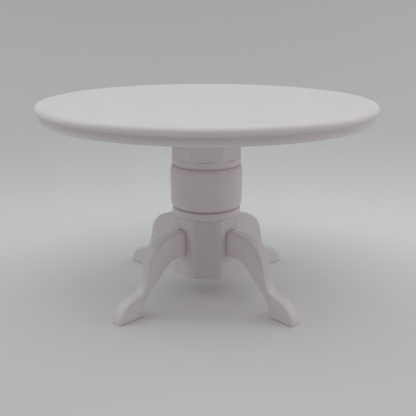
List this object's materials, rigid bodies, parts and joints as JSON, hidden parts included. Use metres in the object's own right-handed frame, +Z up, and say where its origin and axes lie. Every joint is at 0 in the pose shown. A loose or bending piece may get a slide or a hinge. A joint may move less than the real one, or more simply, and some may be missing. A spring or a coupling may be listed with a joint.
{
  "type": "miniature dining table",
  "caption": "Dolls' house round pedestal dining table: a moulded disc top on a turned, octagonal-ended column with splayed cabriole legs, in white painted wood.",
  "frame": {"origin": "on the floor, below the centre of the table, on the column's axis", "axes": "+Z up along the column, -Y towards the viewer at the front, +X to the right; the legs point along the diagonals"},
  "size_m": [0.104, 0.104, 0.0635],
  "materials": {
    "painted_wood": "white satin paint with faint brush and sanding marks over fine-grained wood",
    "bare_wood": "unpainted birch dowel"
  },
  "bodies": {
    "root": {"table_top": "painted_wood", "pedestal_column": "painted_wood", "leg_front_left": "painted_wood", "leg_front_right": "painted_wood", "leg_back_left": "painted_wood", "leg_back_right": "painted_wood", "top_dowel": "bare_wood", "peg_front_left_lower": "bare_wood", "peg_front_left_upper": "bare_wood", "peg_front_right_lower": "bare_wood", "peg_front_right_upper": "bare_wood", "peg_back_left_lower": "bare_wood", "peg_back_left_upper": "bare_wood", "peg_back_right_lower": "bare_wood", "peg_back_right_upper": "bare_wood"}
  },
  "joints": []
}
